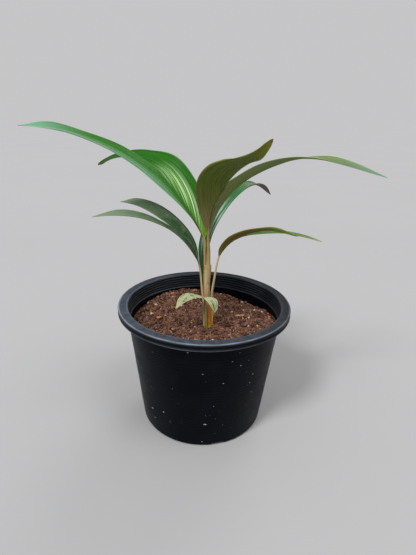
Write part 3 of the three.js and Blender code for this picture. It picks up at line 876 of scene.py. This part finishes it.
def make_studio():
    """A pale floor, as bright where it is lit as the even backdrop, so that no horizon shows."""
    world = bpy.data.worlds.new("studio")
    world.use_nodes = True
    background = world.node_tree.nodes["Background"]
    background.inputs["Color"].default_value = (*BACKDROP_COLOUR, 1)
    background.inputs["Strength"].default_value = 1
    bpy.context.scene.world = world
    bpy.context.scene.view_settings.view_transform = "Standard"
    for lamp in LAMPS:
        soft_sun(*lamp)
    lamp_light = sum(strength * math.sin(math.radians(height)) for _, _, height, _, strength in LAMPS)
    matched = [shade / (shade + lamp_light / math.pi) for shade in BACKDROP_COLOUR]
    darker, lighter = ([share + step for share in matched] for step in (-FLOOR_MOTTLE, FLOOR_MOTTLE))
    floor_shader = Shader("pale_floor", Roughness=0.9, Specular_IOR_Level=0.0)
    mottle = floor_shader.noise(2.0, 3.0)
    floor_shader.to_surface(Base_Color=floor_shader.mix(mottle, darker, lighter))
    corners = FLOOR_REACH * np.array([(-1, -1, 0), (1, -1, 0), (1, 1, 0), (-1, 1, 0)])
    floor = make_object("floor", corners, [np.array([[0, 1, 2, 3]])], floor_shader.material)


# ---- the pot ----

RIM_BOTTOM = POT_HEIGHT - RIM_DROP


def wall_radius(z):
    return BASE_RADIUS + (UNDER_RIM_RADIUS - BASE_RADIUS) * z / RIM_BOTTOM


def inside_radius(z):
    return wall_radius(z) - POT_WALL


def arc(centre, radius, start, end, steps):
    """Points (radius, height) on an arc from one angle to another, in degrees."""
    angles = np.radians(np.linspace(start, end, steps))
    return np.stack([centre[0] + radius * np.cos(angles), centre[1] + radius * np.sin(angles)], 1)


def outer_wall():
    """The outside from the foot to the rim, with three groups of fine raised rings."""
    low, high = FOOT_ROUNDING, POT_HEIGHT - RIM_PLATE
    heights = np.arange(low, high, WALL_STEP)
    relief = np.zeros_like(heights)
    for middle in BANDS:
        inside = smoothstep(BAND_WIDTH / 2, BAND_WIDTH / 2 - BAND_FADE, np.abs(heights - middle))
        turns = (heights - middle) * (BAND_RINGS - 1) / (BAND_WIDTH - 2 * BAND_FADE)
        rings = 0.5 + 0.5 * np.cos(2 * math.pi * turns)
        relief += RING_DEPTH * inside * rings**2
    return np.stack([wall_radius(heights) + relief, heights], 1)


def inner_wall():
    """The inside from the mouth to the floor, with fine ribs above the ledge and a plain wall below it."""
    low, high = POT_FLOOR, POT_HEIGHT - MOUTH_BEVEL
    heights = np.arange(high, low, -WALL_STEP)
    ribs = 0.5 + 0.5 * np.cos(2 * math.pi * (high - heights) / INNER_RIB_PITCH)
    above = smoothstep(LEDGE_HEIGHT, LEDGE_HEIGHT + INNER_RIB_FADE, heights)
    ledge = np.exp(-(((heights - LEDGE_HEIGHT) / LEDGE_REACH) ** 2))
    relief = INNER_RIB_DEPTH * ribs * above + LEDGE_DEPTH * ledge
    return np.stack([inside_radius(heights) - relief, heights], 1)


def rim():
    """The rim: under the plate, round the turned-down edge and over the rounded top to the mouth."""
    plate_bottom = POT_HEIGHT - RIM_PLATE
    inner_edge = RIM_RADIUS - RIM_PLATE
    lip, shoulder = RIM_LIP_ROUNDING, RIM_SHOULDER
    mouth = inside_radius(POT_HEIGHT)
    top = np.linspace(0, 1, 12)[1:-1, None]
    outer_top = np.array([[RIM_RADIUS - shoulder, POT_HEIGHT]])
    inner_top = np.array([[mouth + MOUTH_BEVEL, POT_HEIGHT]])
    plate = outer_top + (inner_top - outer_top) * top
    plate[:, 1] -= RIM_DISH * np.sin(math.pi * top[:, 0])
    return np.vstack([
        [[wall_radius(plate_bottom) + 1 * MM, plate_bottom]],
        [[inner_edge, plate_bottom]],
        arc((inner_edge + lip, RIM_BOTTOM + lip), lip, 180, 270, 5),
        arc((RIM_RADIUS - lip, RIM_BOTTOM + lip), lip, 270, 360, 5),
        arc((RIM_RADIUS - lip, RIM_BOTTOM + 1.8 * lip), lip, 0, 50, 4),
        [[RIM_RADIUS - RIM_DRAFT - RIM_WAIST, RIM_BOTTOM + RIM_WAIST_HEIGHT]],
        [[RIM_RADIUS - RIM_DRAFT, RIM_BOTTOM + RIM_FACE_HEIGHT]],
        arc((RIM_RADIUS - shoulder, POT_HEIGHT - shoulder), shoulder, 0, 90, 9),
        plate,
        arc((mouth + MOUTH_BEVEL, POT_HEIGHT - MOUTH_BEVEL), MOUTH_BEVEL, 90, 180, 7),
    ])


def wear_and_highlights(outline):
    """How pale each point of the outline is: worn and painted highlight lines on the rim's shoulder and
    edges, the ledge and inner ribs.
    """
    mouth = inside_radius(POT_HEIGHT) + 0.3 * MOUTH_BEVEL
    ledge = inside_radius(LEDGE_HEIGHT) - LEDGE_DEPTH
    # pale lines, partly worn and partly painted highlight, on the rim, the mouth and the ledge
    lines = (
        # radius, height, reach and strength
        (RIM_RADIUS - 0.9 * MM, POT_HEIGHT - 0.2 * MM, 0.9 * MM, 0.75),
        (RIM_RADIUS - 0.3 * MM, RIM_BOTTOM + 0.5 * MM, 0.8 * MM, 0.4),
        (mouth, POT_HEIGHT - 0.2 * MM, 1.0 * MM, 0.35),
        (ledge, LEDGE_HEIGHT, 0.8 * MM, 0.35),
    )
    proud = inside_radius(outline[:, 1]) - outline[:, 0]
    # painted highlight on the inner ribs' crests
    rubbed_and_highlit = CREST_HIGHLIGHT * np.clip(proud / INNER_RIB_DEPTH, 0, 1) * (proud < 2 * INNER_RIB_DEPTH)
    for radius, height, reach, strength in lines:
        distance = np.hypot(outline[:, 0] - radius, outline[:, 1] - height)
        rubbed_and_highlit = np.maximum(rubbed_and_highlit, strength * np.exp(-((distance / reach) ** 2)))
    return rubbed_and_highlit


def cut_drains(pot):
    """Cuts the drain slots through the foot."""
    for k in range(DRAIN_COUNT):
        angle = math.radians(DRAIN_FIRST_ANGLE - 90 + 360 * k / DRAIN_COUNT)
        bpy.ops.mesh.primitive_cube_add(size=1)
        cutter = bpy.context.object
        cutter.matrix_world = (
            Matrix.Rotation(angle, 4, "Z")
            @ Matrix.Translation((BASE_RADIUS, 0, 0))
            @ Matrix.Diagonal((DRAIN_WIDTH, DRAIN_WIDTH, 2 * DRAIN_HEIGHT, 1))
        )
        cut = pot.modifiers.new("drain", "BOOLEAN")
        cut.operation = "DIFFERENCE"
        cut.solver = "EXACT"
        cut.object = cutter
        bpy.context.view_layer.objects.active = pot
        bpy.ops.object.modifier_apply(modifier=cut.name)
        bpy.data.objects.remove(cutter)


def make_pot():
    foot = arc((BASE_RADIUS - FOOT_ROUNDING, FOOT_ROUNDING), FOOT_ROUNDING, -90, 0, 9)
    outline = np.vstack([foot, outer_wall(), rim(), inner_wall()])
    rows, sides = len(outline), POT_SEGMENTS
    turn = full_turn(sides) - math.pi / 2
    radius, height = outline[:, :1], outline[:, 1:]
    rings = np.stack([radius * np.cos(turn), radius * np.sin(turn), height + 0 * turn], 2).reshape(-1, 3)
    points = np.vstack([rings, [[0, 0, 0], [0, 0, POT_FLOOR]]])
    wave = WALL_WAVE * noise_at(points, WALL_WAVES_PER_METRE)
    points[:, :2] += unit(points[:, :2]) * wave[:, None] * (points[:, 2:] < RIM_BOTTOM)
    attributes = {
        "turn": np.append(np.tile(full_turn(sides), rows) * BASE_RADIUS, [0, 0]),
        "height": points[:, 2],
        # pale lines, worn and painted highlight
        "wear_and_highlights": np.append(np.repeat(wear_and_highlights(outline), sides), [0, 0]),
    }
    pot = make_object("pot_shell", points, tube_faces(rows, sides), pot_plastic(), attributes)
    cut_drains(pot)
    finish_piece(pot, "pot_plastic", "pot")


# ---- soil ----


def soil_height(x, y):
    """Height of the soil's surface, in metres, for places in metres."""
    x, y = x / MM, y / MM
    height = SOIL_LEVEL + 0.5 * np.sin(x / 6 + 1) * np.cos(y / 7) + 0.3 * np.sin(x / 3.5 - y / 4)
    for at_x, at_y, reach, rise in MOUNDS:
        height = height + rise * np.exp(-((x - at_x) ** 2 + (y - at_y) ** 2) / reach**2)
    return height * MM


def disc_grid(count):
    """An even grid on the unit disc: a square grid pressed into a circle."""
    line = np.linspace(-1, 1, count)
    a, b = (axis.ravel() for axis in np.meshgrid(line, line, indexing="ij"))
    longer = np.maximum(np.abs(a), np.abs(b))
    length = np.hypot(a, b)
    scale = np.where(length > 0, longer / np.maximum(length, 1e-9), 0)
    return a * scale, b * scale


def crumbly(x, y, z):
    """Relief of the crumbs in the soil's own surface."""
    points = np.stack([x, y, z], 1)
    return sum(depth * noise_at(points, per_metre, shift) for per_metre, depth, shift in SOIL_RELIEF)


def make_soil():
    count = SOIL_GRID
    edge_radius = inside_radius(SOIL_EDGE_HEIGHT) - SOIL_CLEARANCE
    a, b = disc_grid(count)
    x, y = edge_radius * a, edge_radius * b
    level = soil_height(x, y)
    relief = crumbly(x, y, level)
    top = np.stack([x, y, level + relief], 1)
    index = np.arange(count * count).reshape(count, count)
    border = np.concatenate([index[0, :-1], index[:-1, -1], index[-1, :0:-1], index[:0:-1, 0]])
    foot = top[border].copy()
    bottom = POT_FLOOR + SOIL_CLEARANCE
    foot[:, :2] = unit(foot[:, :2]) * (inside_radius(bottom) - SOIL_CLEARANCE)
    foot[:, 2] = bottom
    points = np.vstack([top, foot, [[0, 0, bottom]]])
    first = len(top)
    ring = np.arange(len(border))
    after = (ring + 1) % len(border)
    side = np.stack([border[ring], first + ring, first + after, border[after]], 1)
    base = np.stack([np.full(len(border), len(points) - 1), first + after, first + ring], 1)
    surface = grid_quads(count, count)[:, ::-1]
    # painted shade share: 0 in the hollows of the relief, 1 on the crests
    unshaded = 0.5 + 0.5 * np.clip(relief / SOIL_RELIEF_REACH, -1, 1)
    attributes = {"unshaded": np.append(unshaded, np.full(len(points) - first, 0.5))}
    piece = make_object("soil_body", points, [surface, side, base], soil(), attributes)
    finish_piece(piece, "potting_soil", "potting_soil")


def lump_mesh(subdivisions):
    """Points and triangles of a unit icosphere."""
    shape = bmesh.new()
    bmesh.ops.create_icosphere(shape, subdivisions=subdivisions, radius=1)
    points = np.array([v.co[:] for v in shape.verts])
    faces = np.array([[v.index for v in face.verts] for face in shape.faces])
    shape.free()
    return points, faces


def random_turn(rng):
    """A random rotation matrix."""
    return np.array(Quaternion(unit(rng.normal(size=4))).to_matrix())


def make_crumbs():
    """Thousands of loose crumbs, brick chips and grit grains, half sunk in the soil's surface."""
    rng = np.random.default_rng(SEED)
    ball, ball_faces = lump_mesh(2)
    edge_radius = inside_radius(SOIL_EDGE_HEIGHT) - SOIL_CLEARANCE - CRUMB_EDGE_GAP
    shares = (1 - BRICK_SHARE - GRIT_SHARE, BRICK_SHARE, GRIT_SHARE)
    lumps, tones, bricks = [], [], []
    for k in range(CRUMB_COUNT + len(NOTED_CRUMBS)):
        radius = edge_radius * math.sqrt(rng.random())
        angle = 2 * math.pi * rng.random()
        x, y = radius * math.cos(angle), radius * math.sin(angle)
        size = CRUMB_SIZE * min(rng.lognormal(0, 0.5), 2.2)
        kind = rng.choice(("crumb", "brick", "grit"), p=shares)
        if k >= CRUMB_COUNT:
            x, y, size, kind = NOTED_CRUMBS[k - CRUMB_COUNT]
            x, y, size = x * MM, y * MM, size * MM
        shape = ball * (1 + 0.34 * rng.normal(size=(len(ball), 1)).clip(-1.2, 1.2))
        shape = shape * rng.uniform(0.55, 1.25, 3)
        lump = shape @ random_turn(rng).T * size
        lumps.append((lump + (x, y, soil_height(x, y) + size * rng.uniform(-0.15, 0.45)), [ball_faces]))
        tones.append(1.0 if kind == "grit" else 0.85 * rng.beta(1.6, 2.6))
        bricks.append(rng.uniform(0.3, 0.85) if kind == "brick" else 0.0)
    attributes = {"tone": np.repeat(tones, len(ball)), "brick": np.repeat(bricks, len(ball))}
    piece = make_object("soil_crumbs", *as_one(lumps), crumbs_material(), attributes)
    finish_piece(piece, "potting_soil")


def make_fibres():
    """Short curved coir fibres lying on the soil."""
    rng = np.random.default_rng(SEED + 1)
    share = np.linspace(-0.5, 0.5, FIBRE_ROWS)
    fibres, tones = [], []
    for _ in range(FIBRE_COUNT):
        radius = FIBRE_REACH * math.sqrt(rng.random())
        angle = 2 * math.pi * rng.random()
        heading = 2 * math.pi * rng.random()
        length = rng.uniform(*FIBRE_LENGTHS) * MM
        bend = rng.uniform(-0.35, 0.35)
        course = heading + bend * 2 * share
        x = radius * math.cos(angle) + length * share * np.cos(course)
        y = radius * math.sin(angle) + length * share * np.sin(course)
        lift = (0.5 + 0.5 * np.cos(2 * math.pi * share)) * rng.uniform(0.1, 0.9) * MM
        line = np.stack([x, y, soil_height(x, y) + lift], 1)
        side_axis = np.array([-math.sin(heading), math.cos(heading), 0])
        thick = rng.uniform(*FIBRE_RADII) * MM * (1 - np.abs(share)[:, None] * 0.8)
        tube = tube_rings(line, side_axis, thick * np.ones((FIBRE_ROWS, FIBRE_SIDES)))
        fibres.append((tube, tube_faces(FIBRE_ROWS, FIBRE_SIDES)))
        tones.append(rng.uniform(0.1, 0.9))
    points, face_sets = as_one(fibres)
    attributes = {"tone": np.repeat(tones, len(points) // FIBRE_COUNT), "brick": np.full(len(points), 0.25)}
    piece = make_object("soil_fibres", points, face_sets, crumbs_material(), attributes)
    finish_piece(piece, "potting_soil")


# ---- loose pieces on the soil ----


def chip_shape(rng, half):
    """A splinter of bark: a flat block with fibres along it and torn ends."""
    ball, faces = lump_mesh(5)
    block = np.sign(ball) * np.abs(ball) ** 0.55
    ridges = np.sin(9 * block[:, 1] + 3 * rng.random()) * 0.12 + np.sin(23 * block[:, 1]) * 0.06
    torn = 1 - 0.22 * rng.random() * np.abs(np.sin(7 * block[:, 1] + 2 * block[:, 2]))
    rough = 0.16 * noise_at(block, 2.6, rng.uniform(0, 50))
    block[:, 0] *= torn
    block[:, 2] = block[:, 2] * (0.84 + ridges) + 0.18 * block[:, 0] ** 2
    return block * (1 + rough[:, None]) * half, faces


def lump_shape(rng, half, subdivisions, core, dents):
    """A ball pressed in and out by layers of noise, each with its depth and its waves over the ball."""
    ball, faces = lump_mesh(subdivisions)
    relief = sum(depth * noise_at(ball, waves, rng.uniform(0, 50)) for depth, waves in dents)
    return ball * (core + relief[:, None]) * half, faces


def stone_shape(rng, half):
    """A worn stone with a few broad facets."""
    return lump_shape(rng, half, 5, 0.92, ((0.2, 1.3), (0.06, 4.0)))


def clod_shape(rng, half):
    """A clod of soil: a lump of crumbs stuck together."""
    return lump_shape(rng, half, 6, 0.9, ((0.2, 2.2), (0.16, 5.5), (0.07, 13)))


def make_loose_pieces():
    rng = np.random.default_rng(SEED + 2)
    shapes = {"chip": chip_shape, "stone": stone_shape, "clod": clod_shape}
    materials = {
        "tan_bark": bark_material("tan_bark", (112, 76, 48), (206, 160, 114)),
        "orange_bark": bark_material("orange_bark", (140, 76, 46), (226, 158, 116)),
        "dark_bark": bark_material("dark_bark", (24, 16, 12), (70, 48, 36)),
        "grit": grainy_material("grit"),
        "soil_clod": soil("soil_clod"),
    }
    for name, (kind, half, turn, slot, look) in LOOSE_PIECES.items():
        low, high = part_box(name)
        points, faces = shapes[kind](rng, np.array(half) * MM)
        spin = np.array(Matrix.Rotation(math.radians(turn), 3, "Z"))
        points = points @ spin.T + np.array((low + high) / 2)
        points[:, 2] -= LOOSE_SINK
        # the loose pieces get none of the painted hollow shade
        attributes = {"unshaded": np.ones(len(points))}
        piece = make_object(name + "_fine", points, [faces], materials[look], attributes)
        finish_piece(piece, slot, name)


# ---- stem and leaf stalks ----


def make_stem():
    """The stem: overlapping sheaths with slanting seams round it and fine ridges along it."""
    line = evenly(smooth_line(STEM_PATH), STEM_ROWS) * MM
    share = np.linspace(0, 1, STEM_ROWS)[:, None]
    angle = full_turn(STEM_SIDES)[None]
    radius = np.interp(share, np.linspace(0, 1, len(STEM_RADII)), STEM_RADII) * MM * np.ones_like(angle)
    height = line[:, 2:] + 0 * angle
    seams = np.zeros_like(radius)
    for low, rise, facing, step in SHEATHS:
        away = np.abs((angle - math.radians(facing) + math.pi) % (2 * math.pi) - math.pi) / math.pi
        edge = (low + rise * away**0.8) * MM
        under = smoothstep(edge + SEAM_REACH, edge - 0.3 * MM, height)
        radius = radius + step * MM * under
        seams = np.maximum(seams, np.exp(-(((height - edge - 0.25 * MM) / SEAM_REACH) ** 2)))
    radius = radius + STEM_RIDGE * (np.cos(22 * angle + 1.5 * np.sin(share * 9)) + 0.5 * np.cos(37 * angle))
    bulge = np.exp(-(((height - SHOULDER_HEIGHT) / SHOULDER_REACH) ** 2)) * (0.5 + 0.5 * np.sin(angle)) ** 2
    radius = radius + SHOULDER_RISE * bulge
    away_from_shoulder = 0.5 - 0.5 * np.sin(angle)
    radius = radius - STEM_TAPER * smoothstep(STEM_TAPER_START, STEM_TAPER_END, height) * away_from_shoulder
    points = tube_rings(line, np.array([1.0, 0, 0]), radius)
    attributes = {
        "along": np.append((share + 0 * angle).ravel(), [0, 1]),
        "seam": np.append(0.5 * seams.ravel(), [0, 0]),
    }
    faces = tube_faces(STEM_ROWS, STEM_SIDES)
    piece = make_object("stem_sheaths", points, faces, stem_material(), attributes)
    finish_piece(piece, "stem_sheath", "stem")


def leaf_heading(leaf):
    """The level direction that a leaf grows in."""
    tips = np.mean([half.inner[-1] for half in leaf["halves"]], axis=0)
    heading = tips - np.asarray(leaf["petiole"][0], float)
    heading[2] = 0
    return unit(heading)


def make_stalk(name, leaf):
    """A leaf stalk with its midrib: channelled on the upper side, finely ridged, tapering to the notch."""
    route = [*leaf["petiole"], *leaf["midrib"]]
    rows = STALK_ROWS_PER_POINT * (len(route) - 1) + 1
    line = evenly(smooth_line(route), rows) * MM
    share = np.linspace(0, 1, rows)[:, None]
    angle = full_turn(STALK_SIDES)[None]
    radii = np.interp(share, np.linspace(0, 1, len(leaf["radii"])), leaf["radii"])
    radius = radii * MM * np.ones_like(angle)
    reached = lengths_along(smooth_line(route))
    blade_start = reached[LINE_STEPS * (len(leaf["petiole"]) - 1)] / reached[-1]
    petiole = smoothstep(blade_start + 0.04, blade_start - 0.1, share)
    facing = angle - math.radians(leaf.get("groove_turn", 0))
    around = np.abs((facing + math.pi) % (2 * math.pi) - math.pi)
    channel = np.exp(-((around / GROOVE_REACH) ** 2)) * petiole
    radius = radius * (1 - GROOVE_DEPTH * channel) + STALK_RIDGE * np.cos(13 * angle + 2 * np.sin(7 * share))
    end = np.sqrt(np.clip((1 - share) / (1 - STALK_END_START), 0.05, 1))
    radius = radius * np.where(share > STALK_END_START, end, 1)
    points = tube_rings(line, np.cross((0, 0, 1), leaf_heading(leaf)), radius)
    place = np.interp(share, (0, blade_start, 1), (0, BLADE_BASE_PLACE, 1))
    attributes = {
        "along": np.append((place + 0 * angle).ravel(), [0, 1]),
        "groove": np.append(channel.ravel(), [0, 0]),
    }
    piece = make_object(
        name + "_stalk", points, tube_faces(rows, STALK_SIDES), stalk_material(name), attributes)
    finish_piece(piece, leaf["slot"], name)


# ---- leaf blades ----


def blade_rails(leaf, half):
    """A half-blade's inner and outer edge as equal counts of points, from the blade's base to its tip."""
    route = [*leaf["petiole"], *leaf["midrib"]]
    base = len(leaf["petiole"]) - 1
    rib = smooth_line(route)[LINE_STEPS * base:]
    free = smooth_line([leaf["midrib"][-1], *half.inner])
    rib_length, free_length = lengths_along(rib)[-1], lengths_along(free)[-1]
    rib_rows = max(2, round(BLADE_ROWS * rib_length / (rib_length + free_length)))
    inner = np.vstack([evenly(rib, rib_rows), evenly(free, BLADE_ROWS - rib_rows + 1)[1:]])
    outer = evenly(smooth_line([leaf["petiole"][base], *half.outer]), BLADE_ROWS)
    outer[0] += BASE_OPENING * (outer[1] - outer[0])
    return inner * MM, outer * MM


def narrow_tip(inner, outer, along):
    """Brings the two edges together in a rounded point over the last of the blade."""
    end = np.clip((along - TIP_START) / (1 - TIP_START), 0, 1)
    width = np.sqrt(1 - 0.96 * end**2)[:, None]
    middle = (inner + outer) / 2
    return middle + (inner - middle) * width, middle + (outer - middle) * width


def relaxed(grid):
    """The grid with its inside eased between its edges, so that a bend in an edge doesn't crease it."""
    for _ in range(RELAX_ROUNDS):
        grid[1:-1, 1:-1] = (grid[2:, 1:-1] + grid[:-2, 1:-1] + grid[1:-1, 2:] + grid[1:-1, :-2]) / 4
    return grid


def half_blade(leaf, half, shift):
    """Points of one half-blade, ring by ring, and its attributes."""
    inner, outer = blade_rails(leaf, half)
    along = np.linspace(0, 1, BLADE_ROWS)
    inner, outer = narrow_tip(inner, outer, along)
    across = outer - inner
    width = np.linalg.norm(across, axis=1)
    tangent = unit(np.gradient((inner + outer) / 2, axis=0))
    normal = unit(np.cross(tangent, across) * half.side)
    share = np.linspace(0, 1, BLADE_COLUMNS)
    points = relaxed(inner[:, None] + across[:, None] * share[None, :, None])
    bulge = BLADE_CAMBER * width[:, None] * np.sin(math.pi * share)
    grown = np.maximum.accumulate(width) / width.max()
    vein = (1 - share)[None] * grown[:, None] * half.veins
    fade = smoothstep(0, 0.12, along) * smoothstep(1, 0.8, along) * np.sqrt(width / width.max())
    pleat = PLEAT_DEPTH * fade[:, None] * np.cos(2 * math.pi * vein)
    wavy = noise_at(points.reshape(-1, 3), MARGIN_WAVES_PER_METRE, shift).reshape(BLADE_ROWS, BLADE_COLUMNS)
    margin_share = smoothstep(0.6, 1, share)[None] * smoothstep(0, 0.15, along)[:, None]
    lift = bulge + pleat + MARGIN_WAVE * wavy * margin_share
    points = points + normal[:, None] * lift[:, :, None]
    thin = BLADE_HALF_THICKNESS * np.sqrt(np.clip(1 - (2 * share - 1) ** 8, 0.12, 1))
    face = unit(np.cross(np.gradient(points, axis=0), np.gradient(points, axis=1)) * half.side)
    top = points + face * thin[None, :, None]
    bottom = (points - face * thin[None, :, None])[:, ::-1]
    rings = np.concatenate([top, bottom], axis=1)
    ones = np.ones((BLADE_ROWS, BLADE_COLUMNS))
    both_sides = {"along": along[:, None] * ones, "across": share * ones, "vein": vein}
    attributes = {
        key: np.concatenate([values, values[:, ::-1]], axis=1).ravel() for key, values in both_sides.items()
    }
    attributes["upper"] = np.concatenate([ones, 0 * ones], axis=1).ravel()
    return rings.reshape(-1, 3), attributes


def blade_faces():
    """Faces of one half-blade: the band round it and the strips that close its two ends."""
    ring = 2 * BLADE_COLUMNS
    k = np.arange(BLADE_COLUMNS - 1)
    strip = np.stack([k, ring - 1 - k, ring - 2 - k, k + 1], 1)
    last = (BLADE_ROWS - 1) * ring
    return [grid_quads(BLADE_ROWS, ring, closed=True), strip[:, ::-1], strip + last]


def make_half_blades(name, leaf, materials):
    for number, half in enumerate(leaf["halves"], 1):
        points, attributes = half_blade(leaf, half, 10.0 * number)
        piece = make_object(f"{name}_half_{number}", points, blade_faces(), materials[half.look], attributes)
        finish_piece(piece, leaf["slot"], name)


def make_leaves():
    materials = {look: blade_material(look) for look in BLADE_LOOKS}
    for name, leaf in LEAVES.items():
        make_stalk(name, leaf)
        make_half_blades(name, leaf, materials)


# ---- splash marks on the pot ----


def make_specks():
    """Splash marks on the wall, whose pale tone is partly a painted highlight of water drops: a few large
    ones listed and many small ones at random.
    """
    rng = np.random.default_rng(SEED + 3)
    ball, ball_faces = lump_mesh(3)
    spots = [(math.radians(turn), height * MM, size * MM) for turn, height, size in SPLASHES]
    for _ in range(SPLASH_COUNT):
        turn, height = rng.uniform(-math.pi, math.pi), rng.uniform(*SPLASH_HEIGHTS) * MM
        spots.append((turn, height, rng.lognormal(-1.25, 0.4) * MM))
    drops = []
    for turn, height, size in spots:
        angle = turn - math.pi / 2
        radius = wall_radius(height)
        shape = ball * (1 + 0.16 * rng.normal(size=(len(ball), 1)).clip(-1, 1))
        shape = shape * (0.2 * size, size * rng.uniform(0.6, 1.3), size * rng.uniform(0.35, 0.7))
        spin = np.array(Matrix.Rotation(angle, 3, "Z"))
        at = (radius * math.cos(angle), radius * math.sin(angle), height)
        drops.append((shape @ spin.T + at, [ball_faces]))
    piece = make_object("pot_splashes", *as_one(drops), grainy_material("splash_highlight_marks"))
    finish_piece(piece, "pot_plastic")


def colour_roots():
    """The roots keep their CAD shape, with a root's skin."""
    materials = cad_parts["roots"].data.materials
    materials.clear()
    materials.append(grainy_material("root"))


make_camera()
make_studio()
make_pot()
make_soil()
make_crumbs()
make_fibres()
make_loose_pieces()
make_stem()
make_leaves()
make_specks()
colour_roots()
